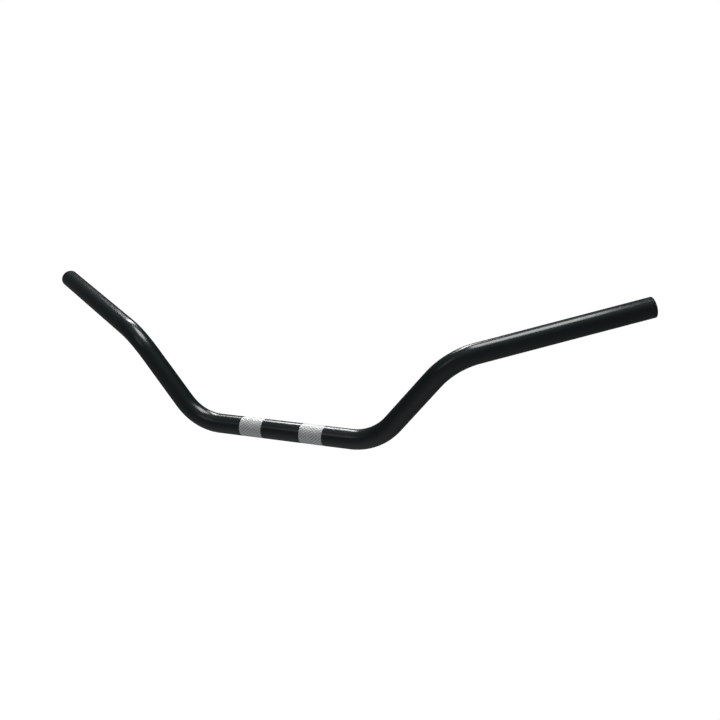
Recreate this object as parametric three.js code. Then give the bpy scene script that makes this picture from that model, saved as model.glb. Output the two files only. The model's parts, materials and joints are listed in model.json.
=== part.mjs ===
// A motorcycle handlebar: one steel tube with four bends and open ends. Two stretches in the middle,
// where the clamps grip it, are bare and knurled. A black powder coat covers the rest of it in three
// separate stretches, each a thin sleeve of its own.
//
// Millimetres. The origin is on the tube's centreline, midway between the two clamps. +X runs along
// the clamped stretch to the right-hand end, +Y towards the rider, and +Z up the plane of the risers.

import * as THREE from "three";

// Tube
const COATED_OD = 22.2; // the usual 7/8 inch bar
const COAT_THICKNESS = 0.1;
const COAT_GAP = 0.02; // keeps the faceted sleeves off the faceted tube
const WALL = 2;
const COAT_OUTER_R = COATED_OD / 2;
const COAT_INNER_R = COAT_OUTER_R - COAT_THICKNESS;
const TUBE_R = COAT_INNER_R - COAT_GAP;
const BORE_R = TUBE_R - WALL;

// Centreline of the right half, measured between its corners before they are rounded
const CENTRE_TO_LOWER_CORNER = 111.5;
const LOWER_TO_UPPER_CORNER = 125.5;
const UPPER_CORNER_TO_END = 213.5;
const RISER_ANGLE = THREE.MathUtils.degToRad(49.6); // above the clamped stretch
const GRIP_SWEEP = THREE.MathUtils.degToRad(28.3); // back towards the rider
const GRIP_RISE = THREE.MathUtils.degToRad(13.5);
const LOWER_BEND_R = 63.5;
const UPPER_BEND_R = 72;

// Knurled stretches, one under each clamp
const CLAMP_SPACING = 75;
const KNURL_WIDTH = 27.5;
const KNURL_ENDS_X = [(CLAMP_SPACING - KNURL_WIDTH) / 2, (CLAMP_SPACING + KNURL_WIDTH) / 2];

// Facets
const SIDES = 24;
const BEND_STEP = THREE.MathUtils.degToRad(6.5);

const STEEL = { color: 0xb9bbbd, roughness: 0.35, metalness: 1 };
const POWDER_COAT = { color: 0x141617, roughness: 0.3, metalness: 0 };

// The right half of the centreline as stations, each a point and the direction that the tube takes
// there. A straight stretch has a station only where something starts or ends.
function rightHalfCentreline() {
  const alongBar = new THREE.Vector3(1, 0, 0);
  const upRiser = new THREE.Vector3(Math.cos(RISER_ANGLE), 0, Math.sin(RISER_ANGLE));
  const alongGrip = new THREE.Vector3(
    Math.cos(GRIP_RISE) * Math.cos(GRIP_SWEEP),
    Math.cos(GRIP_RISE) * Math.sin(GRIP_SWEEP),
    Math.sin(GRIP_RISE),
  );
  const lowerCorner = new THREE.Vector3(CENTRE_TO_LOWER_CORNER, 0, 0);
  const upperCorner = lowerCorner.clone().addScaledVector(upRiser, LOWER_TO_UPPER_CORNER);
  const end = upperCorner.clone().addScaledVector(alongGrip, UPPER_CORNER_TO_END);
  return [
    ...KNURL_ENDS_X.map((x) => ({ point: new THREE.Vector3(x, 0, 0), direction: alongBar })),
    ...bend(lowerCorner, alongBar, upRiser, LOWER_BEND_R),
    ...bend(upperCorner, upRiser, alongGrip, UPPER_BEND_R),
    { point: end, direction: alongGrip },
  ];
}

// Stations round one corner, on the arc that touches both of the straight stretches that meet there.
function bend(corner, before, after, radius) {
  const angle = before.angleTo(after);
  const start = corner.clone().addScaledVector(before, -radius * Math.tan(angle / 2));
  const inward = after.clone().addScaledVector(before, -after.dot(before)).normalize();
  const steps = Math.ceil(angle / BEND_STEP);
  return Array.from({ length: steps + 1 }, (_, step) => {
    const turned = (angle * step) / steps;
    const point = start
      .clone()
      .addScaledVector(before, radius * Math.sin(turned))
      .addScaledVector(inward, radius * (1 - Math.cos(turned)));
    const direction = before
      .clone()
      .multiplyScalar(Math.cos(turned))
      .addScaledVector(inward, Math.sin(turned));
    return { point, direction };
  });
}

// Adds a normal and a binormal to each station, turned along with the tube so that it never twists.
function withNormals(centreline) {
  const normal = new THREE.Vector3(0, 0, 1);
  let previous = centreline[0].direction;
  return centreline.map(({ point, direction }) => {
    normal.applyQuaternion(new THREE.Quaternion().setFromUnitVectors(previous, direction));
    previous = direction;
    const binormal = new THREE.Vector3().crossVectors(direction, normal);
    return { point, direction, normal: normal.clone(), binormal };
  });
}

// The matching station on the left half, which is a mirror image but still heads towards +X.
function mirrored({ point, direction, normal }) {
  const flip = new THREE.Vector3(-1, 1, 1);
  const heading = direction.clone().multiply(flip).negate();
  const up = normal.clone().multiply(flip);
  return {
    point: point.clone().multiply(flip),
    direction: heading,
    normal: up,
    binormal: new THREE.Vector3().crossVectors(heading, up),
  };
}

// A curve that ExtrudeGeometry follows from station to station instead of by equal lengths.
class StationCurve extends THREE.Curve {
  constructor(stations) {
    super();
    this.stations = stations;
  }
  getSpacedPoints() {
    return this.stations.map((station) => station.point);
  }
  computeFrenetFrames() {
    return {
      tangents: this.stations.map((station) => station.direction),
      normals: this.stations.map((station) => station.normal),
      binormals: this.stations.map((station) => station.binormal),
    };
  }
}

// A pipe along a run of stations.
function pipe(name, finish, stations, outerRadius, innerRadius) {
  const section = new THREE.Shape().absarc(0, 0, outerRadius, 0, Math.PI * 2, false);
  section.holes.push(new THREE.Path().absarc(0, 0, innerRadius, 0, Math.PI * 2, true));
  const geometry = new THREE.ExtrudeGeometry(section, {
    steps: stations.length - 1,
    curveSegments: SIDES / 2,
    extrudePath: new StationCurve(stations),
  });
  const mesh = new THREE.Mesh(geometry, new THREE.MeshStandardMaterial(finish));
  mesh.name = name;
  return mesh;
}

function barTube() {
  return pipe("bar_tube", STEEL, [...leftHalf, ...rightHalf], TUBE_R, BORE_R);
}

function coating(name, stations) {
  return pipe(name, POWDER_COAT, stations, COAT_OUTER_R, COAT_INNER_R);
}

// Each half's station next to the origin is the knurl's inner end, and the one after it the outer end.
const rightHalf = withNormals(rightHalfCentreline());
const leftHalf = rightHalf.map(mirrored).reverse();

const handlebar = new THREE.Group();
handlebar.add(
  barTube(),
  coating("coating_left", leftHalf.slice(0, -1)),
  coating("coating_center", [leftHalf.at(-1), rightHalf[0]]),
  coating("coating_right", rightHalf.slice(1)),
);

export default handlebar;
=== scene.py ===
# A bare motorcycle handlebar: one bent steel tube, powder-coated outside except on its two knurled
# bands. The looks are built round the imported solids, in their frame and in metres: the origin is
# midway between the clamps, +X runs to the bar's right-hand end, +Y towards the rider, +Z up.

import json
import math

import bmesh
import bpy
import numpy as np
from mathutils import Matrix, Vector

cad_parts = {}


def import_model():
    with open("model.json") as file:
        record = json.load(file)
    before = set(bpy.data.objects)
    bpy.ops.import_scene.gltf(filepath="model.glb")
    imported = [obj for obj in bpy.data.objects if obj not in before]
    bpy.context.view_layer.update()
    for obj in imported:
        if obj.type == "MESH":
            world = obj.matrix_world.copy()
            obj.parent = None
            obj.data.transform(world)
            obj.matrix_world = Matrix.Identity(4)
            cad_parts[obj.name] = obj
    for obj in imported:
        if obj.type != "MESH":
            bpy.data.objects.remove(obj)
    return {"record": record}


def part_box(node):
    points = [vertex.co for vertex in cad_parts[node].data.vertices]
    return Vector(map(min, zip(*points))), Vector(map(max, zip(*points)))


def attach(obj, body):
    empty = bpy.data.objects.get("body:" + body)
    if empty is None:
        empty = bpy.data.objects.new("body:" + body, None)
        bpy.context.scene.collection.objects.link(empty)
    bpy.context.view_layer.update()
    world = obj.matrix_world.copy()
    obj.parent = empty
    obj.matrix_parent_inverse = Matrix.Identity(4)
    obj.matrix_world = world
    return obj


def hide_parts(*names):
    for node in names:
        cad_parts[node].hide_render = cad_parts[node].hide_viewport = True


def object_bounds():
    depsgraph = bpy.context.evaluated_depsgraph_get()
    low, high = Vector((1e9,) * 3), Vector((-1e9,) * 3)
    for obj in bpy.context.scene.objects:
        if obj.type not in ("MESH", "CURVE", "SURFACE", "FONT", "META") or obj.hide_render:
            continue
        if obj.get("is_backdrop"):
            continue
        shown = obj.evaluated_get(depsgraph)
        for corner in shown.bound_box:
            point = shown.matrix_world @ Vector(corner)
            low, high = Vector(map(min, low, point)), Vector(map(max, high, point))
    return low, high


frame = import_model()
CAD_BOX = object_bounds()
MM = 0.001

# ---------------------------------------------------------------- the tube, as the solids have it

CENTRE_TO_LOWER_CORNER = 111.5 * MM  # between the corners that the bends round off
LOWER_TO_UPPER_CORNER = 125.5 * MM
UPPER_CORNER_TO_END = 213.5 * MM
RISER_ANGLE = math.radians(49.6)
LOWER_BEND_R = 63.5 * MM
UPPER_BEND_R = 72 * MM
WALL = 2 * MM
COAT = 0.1 * MM  # thickness of the powder coat

KNURL_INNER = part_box("coating_center")[1].x  # where each knurled band starts and ends, along X
KNURL_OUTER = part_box("coating_right")[0].x
COATED_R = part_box("coating_center")[1].z
STEEL_R = COATED_R - COAT
BORE_R = STEEL_R - WALL
ALONG_BAR = Vector((1, 0, 0))
UP_RISER = Vector((math.cos(RISER_ANGLE), 0, math.sin(RISER_ANGLE)))
ALONG_GRIP = Vector(
    next(m["axis"] for m in frame["record"]["mounts"] if m["name"] == "right_end")
).normalized()


def half_of_the_bar():
    """The right half's stretches from the middle out, as (length, bend axis, bend radius)."""
    legs = [CENTRE_TO_LOWER_CORNER, LOWER_TO_UPPER_CORNER, UPPER_CORNER_TO_END]
    directions = [ALONG_BAR, UP_RISER, ALONG_GRIP]
    bends = []
    for bend, radius in enumerate((LOWER_BEND_R, UPPER_BEND_R)):
        before, after = directions[bend], directions[bend + 1]
        angle = before.angle(after)
        rounded_off = radius * math.tan(angle / 2)
        legs[bend] -= rounded_off
        legs[bend + 1] -= rounded_off
        bends.append((radius * angle, before.cross(after).normalized(), radius))
    straights = [(length, None, None) for length in legs]
    return [straights[0], bends[0], straights[1], bends[1], straights[2]]


STRETCHES = half_of_the_bar()
STRETCH_ENDS = [float(end) for end in np.cumsum([length for length, _, _ in STRETCHES])]
HALF_LENGTH = STRETCH_ENDS[-1]


def centreline(distance):
    """The centreline this far from the middle: a point, and the directions along, up and across."""
    left = abs(distance)
    point = Vector((0, 0, 0))
    along, up = ALONG_BAR.copy(), Vector((0, 0, 1))
    for length, axis, radius in STRETCHES:
        step = min(left, length)
        if axis is None:
            point += along * step
        else:
            turned = step / radius
            inward = axis.cross(along)
            point += radius * (along * math.sin(turned) + inward * (1 - math.cos(turned)))
            turn = Matrix.Rotation(turned, 3, axis)
            along, up = turn @ along, turn @ up
        left -= step
    point += along * left
    if distance < 0:
        point.x, up.x = -point.x, -up.x
        along = Vector((along.x, -along.y, -along.z))
    return point, along, up, along.cross(up)


# ---------------------------------------------------------------- meshes
# Every mesh is a profile swept round the centreline: a closed list of stations, each a distance
# from the middle of the bar and a radius, or one radius for each of the AROUND points.

KNURL_STARTS = 21  # grooves in each of the two crossing sets
KNURL_DIAMONDS = 7  # along a band
KNURL_DEPTH = 0.38 * MM  # of the deeper set of grooves
OTHER_DEPTH = 0.28 * MM  # of the set that crosses them
GROOVE_PROFILE = (0, 0.5, 0.8, 0.95, 1, 0.95, 0.8, 0.5)  # heights from one groove to the next
CELLS = len(GROOVE_PROFILE)
KNURL_ROWS = KNURL_DIAMONDS * CELLS
AROUND = KNURL_STARTS * CELLS
LEVEL = 0.001 * MM  # heights closer than this count as equal
BEND_STEP = math.radians(2)
SHARP_ANGLE = math.radians(30)

OUTER_EDGE = 0.35 * MM  # rounding of the tube's cut ends
INNER_EDGE = 0.3 * MM
CORNER_STEPS = 5
COAT_IN_BORE = 9 * MM  # how far the powder reached into the tube
COAT_FADE = 3 * MM  # over which it thins out there
GAP = 0.01 * MM  # between the coat and the steel under it


def ring(distance, radii):
    """AROUND points round the centreline, at this radius or at one radius each."""
    point, _, up, across = centreline(distance)
    angle = np.arange(AROUND) * (2 * math.pi / AROUND)
    outward = np.outer(np.cos(angle), up) + np.outer(np.sin(angle), across)
    return np.array(point) + outward * np.broadcast_to(radii, AROUND)[:, None]


def run(start, end, radius):
    """Stations from start to end at one radius, with one wherever a stretch ends in between and one
    for every small step round a bend."""
    right_half = []
    before = 0.0
    for (length, axis, bend_radius), after in zip(STRETCHES, STRETCH_ENDS):
        steps = 1 if axis is None else math.ceil(length / bend_radius / BEND_STEP)
        right_half += list(np.linspace(before, after, steps + 1)[1:])
        before = after
    left_half = [-d for d in right_half]
    low, high = min(start, end), max(start, end)
    between = sorted(d for d in right_half + left_half if low < d < high)
    if start > end:
        between.reverse()
    return [(d, radius) for d in [start] + between + [end]]


def corner(distance, radius, size, start, end):
    """Stations round a quarter circle about (distance, radius); 0 degrees points along the bar."""
    angles = np.radians(np.linspace(start, end, CORNER_STEPS))
    return [(distance + size * math.cos(a), radius + size * math.sin(a)) for a in angles]


def tube_end(distance, outside, inside, outer_edge, inner_edge):
    """Stations over a cut end: round its outer edge, down the end face, round its inner edge."""
    outer = corner(distance - outer_edge, outside - outer_edge, outer_edge, 90, 0)
    inner = corner(distance - inner_edge, inside + inner_edge, inner_edge, 0, -90)
    return outer + inner


def mirrored(stations):
    return [(-distance, radii) for distance, radii in reversed(stations)]


def knurl(start, end):
    """Stations inside one band: two crossing sets of spiral grooves leave rounded diamonds."""
    column = np.arange(AROUND)
    height = np.array(GROOVE_PROFILE)
    made = []
    for row in range(1, KNURL_ROWS):
        deeper = KNURL_DEPTH * (1 - height[(column + row) % CELLS])
        other = OTHER_DEPTH * (1 - height[(column - row) % CELLS])
        distance = start + (end - start) * row / KNURL_ROWS
        made.append((distance, COATED_R - np.maximum(deeper, other)))
    return made


def level_first(ac, bd):
    """Whether to split a square a-b-c-d along a-c, given the radii at the ends of both diagonals.
    The diagonal whose ends are level is the one to take, or else the lower one."""
    climb_ac, climb_bd = abs(ac[0] - ac[1]), abs(bd[0] - bd[1])
    if abs(climb_ac - climb_bd) > LEVEL:
        return climb_ac < climb_bd
    return sum(ac) < sum(bd)


def faces_between(row, following, radii, cut):
    """The squares from one ring to another, or where it is cut, triangles along the grooves."""
    made = []
    for column in range(AROUND):
        beside = (column + 1) % AROUND
        a, b = row * AROUND + column, row * AROUND + beside
        c, d = following * AROUND + beside, following * AROUND + column
        ac = radii[row][column], radii[following][beside]
        bd = radii[row][beside], radii[following][column]
        if not cut:
            made.append((a, b, c, d))
        elif level_first(ac, bd):
            made += [(a, b, c), (a, c, d)]
        else:
            made += [(a, b, d), (b, c, d)]
    return made


def point_normals_outward(mesh):
    bm = bmesh.new()
    bm.from_mesh(mesh)
    bmesh.ops.recalc_face_normals(bm, faces=bm.faces)
    bm.to_mesh(mesh)
    bm.free()


def swept(name, stations, material, cut=()):
    """The mesh through these stations and back to the first. A row of faces whose number is in cut
    is split into triangles and shaded flat. The attribute "recess" is 0 on the coat's surface and 1
    at the bottom of a groove or inside the tube; it masks the shade painted into the steel's
    colour."""
    points = np.concatenate([ring(*station) for station in stations])
    radii = [np.broadcast_to(radius, AROUND) for _, radius in stations]
    faces, smooth = [], []
    for row in range(len(stations)):
        following = (row + 1) % len(stations)
        made = faces_between(row, following, radii, row in cut)
        faces += made
        smooth += [row not in cut] * len(made)
    mesh = bpy.data.meshes.new(name)
    mesh.from_pydata(points.tolist(), [], faces)
    mesh.polygons.foreach_set("use_smooth", smooth)
    point_normals_outward(mesh)
    mesh.set_sharp_from_angle(angle=SHARP_ANGLE)
    # how far below the coat's surface a point lies: the mask for the shade painted into grooves and
    # bore
    recess_shade = mesh.attributes.new("recess_shade", "FLOAT", "POINT")
    below_surface = COATED_R - np.concatenate(radii)
    recess_shade.data.foreach_set("value", np.clip(below_surface / KNURL_DEPTH, 0, 1))
    mesh.materials.append(material)
    piece = bpy.data.objects.new(name, mesh)
    bpy.context.scene.collection.objects.link(piece)
    return piece


def steel_tube(material):
    end = tube_end(HALF_LENGTH, STEEL_R, BORE_R, OUTER_EDGE, INNER_EDGE)
    stations = run(-HALF_LENGTH + OUTER_EDGE, -KNURL_OUTER, STEEL_R)
    left_band = len(stations) - 1  # the row of faces that the band starts with
    stations += knurl(-KNURL_OUTER, -KNURL_INNER)
    stations += run(-KNURL_INNER, KNURL_INNER, STEEL_R)
    right_band = len(stations) - 1
    stations += knurl(KNURL_INNER, KNURL_OUTER)
    stations += run(KNURL_OUTER, HALF_LENGTH - OUTER_EDGE, STEEL_R)[:-1]
    stations += end
    stations += run(HALF_LENGTH - INNER_EDGE, -HALF_LENGTH + INNER_EDGE, BORE_R)[1:-1]
    stations += mirrored(end)[:-1]
    cut = [band + row for band in (left_band, right_band) for row in range(KNURL_ROWS)]
    return swept("steel_tube", stations, material, cut)


def centre_coat(material):
    stations = run(-KNURL_INNER, KNURL_INNER, COATED_R)
    stations += run(KNURL_INNER, -KNURL_INNER, STEEL_R + GAP)
    return swept("powder_coat_center", stations, material)


def end_coat(name, side, material):
    """The coat from a band's outer edge out over the tube's cut end and a little way into it."""
    outer = tube_end(
        HALF_LENGTH + COAT, COATED_R, BORE_R - COAT, OUTER_EDGE + COAT, INNER_EDGE + COAT
    )
    under = tube_end(
        HALF_LENGTH + GAP, STEEL_R + GAP, BORE_R - GAP, OUTER_EDGE + GAP, INNER_EDGE + GAP
    )
    stations = run(KNURL_OUTER, HALF_LENGTH - OUTER_EDGE, COATED_R)[:-1]
    stations += outer
    stations.append((HALF_LENGTH - COAT_IN_BORE + COAT_FADE, BORE_R - COAT))
    stations.append((HALF_LENGTH - COAT_IN_BORE, BORE_R - GAP))
    stations += reversed(under)
    stations += run(HALF_LENGTH - OUTER_EDGE, KNURL_OUTER, STEEL_R + GAP)[1:]
    if side < 0:
        stations = mirrored(stations)
    return swept(name, stations, material)


# ---------------------------------------------------------------- materials


class Shading:
    """A new material's nodes, and short ways to add and join them."""

    def __init__(self, name):
        self.material = bpy.data.materials.new(name)
        self.material.use_nodes = True
        self.tree = self.material.node_tree
        self.shader = self.tree.nodes["Principled BSDF"]
        self.place = self.tree.nodes.new("ShaderNodeTexCoord").outputs["Object"]

    def link(self, source, target):
        self.tree.links.new(source, target)

    def feed(self, source, socket):
        """Join a node's output to a socket of the shader."""
        self.link(source, self.shader.inputs[socket])

    def noise(self, size, detail=2, roughness=0.5):
        """Noise whose features are about this many metres across."""
        node = self.tree.nodes.new("ShaderNodeTexNoise")
        node.inputs["Scale"].default_value = 1 / size
        node.inputs["Detail"].default_value = detail
        node.inputs["Roughness"].default_value = roughness
        self.link(self.place, node.inputs["Vector"])
        return node.outputs["Fac"]

    def between(self, value, low, high, start=0.3, end=0.7):
        """The value moved from start..end, the range that most noise lies in, to low..high."""
        node = self.tree.nodes.new("ShaderNodeMapRange")
        for socket, number in zip(node.inputs[1:5], (start, end, low, high)):
            socket.default_value = number
        self.link(value, node.inputs["Value"])
        return node.outputs["Result"]

    def total(self, first, second):
        """The sum of two values, kept within 0..1."""
        node = self.tree.nodes.new("ShaderNodeMath")
        node.operation = "ADD"
        node.use_clamp = True
        self.link(first, node.inputs[0])
        self.link(second, node.inputs[1])
        return node.outputs[0]

    def colours(self, value, first, second):
        """The first colour where the value is 0, the second where it is 1."""
        node = self.tree.nodes.new("ShaderNodeMix")
        node.data_type = "RGBA"
        node.inputs[6].default_value = (*first, 1)
        node.inputs[7].default_value = (*second, 1)
        self.link(value, node.inputs["Factor"])
        return node.outputs[2]

    def bump(self, height, depth, normal=None):
        """Relief this many metres deep, on top of another relief."""
        node = self.tree.nodes.new("ShaderNodeBump")
        node.inputs["Distance"].default_value = depth
        self.link(height, node.inputs["Height"])
        if normal:
            self.link(normal, node.inputs["Normal"])
        return node.outputs["Normal"]

    def attribute(self, name):
        node = self.tree.nodes.new("ShaderNodeAttribute")
        node.attribute_name = name
        return node.outputs["Fac"]


BLACK, PALER_BLACK = (0.005, 0.0095, 0.011), (0.008, 0.0130, 0.0145)
SHADE_PATCHES, GLOSS_PATCHES = 30 * MM, 8 * MM
COAT_ROUGHNESS = 0.17, 0.24  # in its glossiest and its dullest patches
COAT_IOR = 1.5
PEEL_SIZE, PEEL_DEPTH = 2.2 * MM, 0.009 * MM
COAT_GRAIN_SIZE, COAT_GRAIN_DEPTH = 0.35 * MM, 0.002 * MM


def powder_coat():
    """Gloss black powder: orange peel, a finer grain, and slow changes of shade and gloss."""
    s = Shading("powder_coat")
    shade = s.between(s.noise(SHADE_PATCHES, detail=4), 0, 1)
    s.feed(s.colours(shade, BLACK, PALER_BLACK), "Base Color")
    s.feed(s.between(s.noise(GLOSS_PATCHES, detail=5), *COAT_ROUGHNESS), "Roughness")
    s.shader.inputs["IOR"].default_value = COAT_IOR
    peel = s.bump(s.noise(PEEL_SIZE, detail=1), PEEL_DEPTH)
    s.feed(s.bump(s.noise(COAT_GRAIN_SIZE), COAT_GRAIN_DEPTH, peel), "Normal")
    return s.material


# the crests' colour, and the greyer colour painted into grooves and bore as shade, which patina
# also leans towards
BRIGHT_STEEL, SHADE_AND_PATINA_STEEL = (0.97, 0.97, 0.97), (0.34, 0.34, 0.34)
STEEL_ROUGHNESS = 0.28, 0.4  # burnished, and dull
STEEL_METALLIC = 0.3  # a satin scatter more than a mirror
GROOVE_SHADING = 0.1, 0.9  # the "recess" depth at which the painted shade in a groove starts, and where it is full
PATINA_PATCHES, PATINA = 4 * MM, 0.12
STEEL_GRAIN_SIZE, STEEL_GRAIN_DEPTH = 0.3 * MM, 0.006 * MM


def bare_steel():
    """Rolled steel: bright crests; grooves and bore painted darker and greyer as shade, and
    rougher; a faint patina and a fine satin grain.
    """
    s = Shading("bare_steel")
    # painted shade: the deeper a point lies below the coat's surface, the darker its colour
    recess_shade = s.between(s.attribute("recess_shade"), 0, 1, *GROOVE_SHADING)
    patina = s.between(s.noise(PATINA_PATCHES, detail=5), 0, PATINA)
    # the painted groove shade plus the patina; it sets both the colour and the roughness
    shade_and_patina = s.total(recess_shade, patina)
    s.feed(s.colours(shade_and_patina, BRIGHT_STEEL, SHADE_AND_PATINA_STEEL), "Base Color")
    s.feed(s.between(shade_and_patina, *STEEL_ROUGHNESS, 0, 1), "Roughness")
    s.shader.inputs["Metallic"].default_value = STEEL_METALLIC
    grain = s.noise(STEEL_GRAIN_SIZE, detail=4, roughness=0.7)
    s.feed(s.bump(grain, STEEL_GRAIN_DEPTH), "Normal")
    return s.material


# ---------------------------------------------------------------- the object


def build():
    steel, coat = bare_steel(), powder_coat()
    pieces = [
        (steel_tube(steel), "bar_tube", "bare_steel"),
        (end_coat("powder_coat_left", -1, coat), "coating_left", "powder_coat"),
        (centre_coat(coat), "coating_center", "powder_coat"),
        (end_coat("powder_coat_right", 1, coat), "coating_right", "powder_coat"),
    ]
    for piece, node, slot in pieces:
        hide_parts(node)
        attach(piece, "root")


# ---------------------------------------------------------------- studio


def toward(azimuth, elevation):
    """Unit vector from the object, given in degrees; azimuth 0 is the front (-Y), 90 is +X."""
    a, e = math.radians(azimuth), math.radians(elevation)
    return Vector((math.sin(a) * math.cos(e), -math.cos(a) * math.cos(e), math.sin(e)))


LIGHT_DISTANCE = 4.0  # metres from the origin


def softbox(name, azimuth, elevation, width, height, radiance, spin):
    """A rectangular light that faces the origin, turned by spin degrees in its own plane."""
    data = bpy.data.lights.new(name, "AREA")
    data.shape = "RECTANGLE"
    data.size, data.size_y = width, height
    data.energy = radiance * math.pi * width * height
    light = bpy.data.objects.new(name, data)
    direction = toward(azimuth, elevation)
    light.location = direction * LIGHT_DISTANCE
    facing = (-direction).to_track_quat("-Z", "Y").to_matrix()
    light.rotation_euler = (facing @ Matrix.Rotation(math.radians(spin), 3, "Z")).to_euler()
    light.visible_camera = False
    bpy.context.scene.collection.objects.link(light)


def lights():
    # the long highlight on the right grip
    softbox("overhead", 178, 82.6, width=1.58, height=2.2, radiance=8.6, spin=29)
    # the thin line along the top of the middle stretch, and the spots on the bends
    softbox("back_left", -144.6, 43.6, width=0.58, height=1.5, radiance=15.8, spin=-53)
    # the faint band along the front of the middle stretch
    softbox("front_left", -26, 36, width=1.2, height=1.5, radiance=0.6, spin=-16)


WHITE = 1.02  # of the floor and the background; over 1, so that both show as pure white
AMBIENT = 0.02  # light from every side
STUDIO_TINT = (0.955, 1.0, 1.005)
GLOWS = (  # azimuth, elevation, brightness, sharpness
    (-23, -65, 0.31, 2.6),  # up from the floor
    (20, -20, 0.12, 1.0),  # from the front
    (6, 81, 0.45, 5.4),  # round the overhead softbox
    (-145, 48, 0.35, 20),  # round the back left softbox
)


def world():
    """White for the camera; for the object, a dim studio with a few soft glows round it."""
    studio = bpy.data.worlds.new("studio")
    bpy.context.scene.world = studio
    studio.use_nodes = True
    tree = studio.node_tree
    tree.nodes.clear()

    def node(kind, operation, *values, output=0):
        made = tree.nodes.new(kind)
        made.operation = operation
        for socket, value in zip(made.inputs, values):
            if isinstance(value, bpy.types.NodeSocket):
                tree.links.new(value, socket)
            else:
                socket.default_value = value
        return made.outputs[output]

    def maths(operation, *values):
        return node("ShaderNodeMath", operation, *values)

    def background(strength, colour=(1, 1, 1)):
        made = tree.nodes.new("ShaderNodeBackground")
        made.inputs["Color"].default_value = (*colour, 1)
        if isinstance(strength, bpy.types.NodeSocket):
            tree.links.new(strength, made.inputs["Strength"])
        else:
            made.inputs["Strength"].default_value = strength
        return made.outputs[0]

    direction = tree.nodes.new("ShaderNodeTexCoord").outputs["Generated"]
    strength = AMBIENT
    for azimuth, elevation, brightness, sharpness in GLOWS:
        centre = toward(azimuth, elevation)
        aligned = node("ShaderNodeVectorMath", "DOT_PRODUCT", direction, centre, output=1)
        fall = maths("MULTIPLY_ADD", aligned, sharpness, -sharpness)
        strength = maths("MULTIPLY_ADD", maths("EXPONENT", fall), brightness, strength)
    path = tree.nodes.new("ShaderNodeLightPath")
    mix = tree.nodes.new("ShaderNodeMixShader")
    output = tree.nodes.new("ShaderNodeOutputWorld")
    tree.links.new(path.outputs["Is Camera Ray"], mix.inputs[0])
    tree.links.new(background(strength, STUDIO_TINT), mix.inputs[1])
    tree.links.new(background(WHITE), mix.inputs[2])
    tree.links.new(mix.outputs[0], output.inputs["Surface"])


LENS, SENSOR = 42.92, 36  # millimetres
VIEW_AZIMUTH, VIEW_ELEVATION, VIEW_ROLL = 23.27, 11.97, -0.39  # degrees
VIEW_DISTANCE = 0.9876  # metres back from the middle of the bar's box
VIEW_RIGHT, VIEW_UP = 0.0665, -0.0011  # metres aside from there, as the picture is framed


def camera():
    """The photo's viewpoint."""
    data = bpy.data.cameras.new("camera")
    data.lens = LENS
    data.sensor_width = SENSOR
    view = bpy.data.objects.new("camera", data)
    lowest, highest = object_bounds()
    back = toward(VIEW_AZIMUTH, VIEW_ELEVATION)
    roll = Matrix.Rotation(math.radians(VIEW_ROLL), 3, "Z")
    look = back.to_track_quat("Z", "Y").to_matrix() @ roll
    aside = look.col[0] * VIEW_RIGHT + look.col[1] * VIEW_UP
    view.location = (lowest + highest) / 2 + back * VIEW_DISTANCE + aside
    view.rotation_euler = look.to_euler()
    bpy.context.scene.collection.objects.link(view)
    bpy.context.scene.camera = view


FLOOR_BELOW = 0.6  # metres under the bar, far enough for no shadow to show
FLOOR_HALF = 20.0  # half the floor's side, metres


def floor():
    """A seamless white floor; it neither mirrors in the bar nor lights it."""
    z = CAD_BOX[0].z - FLOOR_BELOW
    corners = [(x * FLOOR_HALF, y * FLOOR_HALF, z) for x, y in ((-1, -1), (1, -1), (1, 1), (-1, 1))]
    mesh = bpy.data.meshes.new("floor")
    mesh.from_pydata(corners, [], [(0, 1, 2, 3)])
    plane = bpy.data.objects.new("floor", mesh)
    bpy.context.scene.collection.objects.link(plane)
    material = bpy.data.materials.new("floor")
    material.use_nodes = True
    shader = material.node_tree.nodes["Principled BSDF"]
    shader.inputs["Base Color"].default_value = (0, 0, 0, 1)
    shader.inputs["Specular IOR Level"].default_value = 0
    shader.inputs["Emission Color"].default_value = (1, 1, 1, 1)
    shader.inputs["Emission Strength"].default_value = WHITE
    mesh.materials.append(material)
    plane.visible_glossy = False
    plane.visible_diffuse = False
    plane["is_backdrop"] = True


build()
floor()
world()
lights()
camera()
bpy.context.scene.view_settings.view_transform = "Standard"
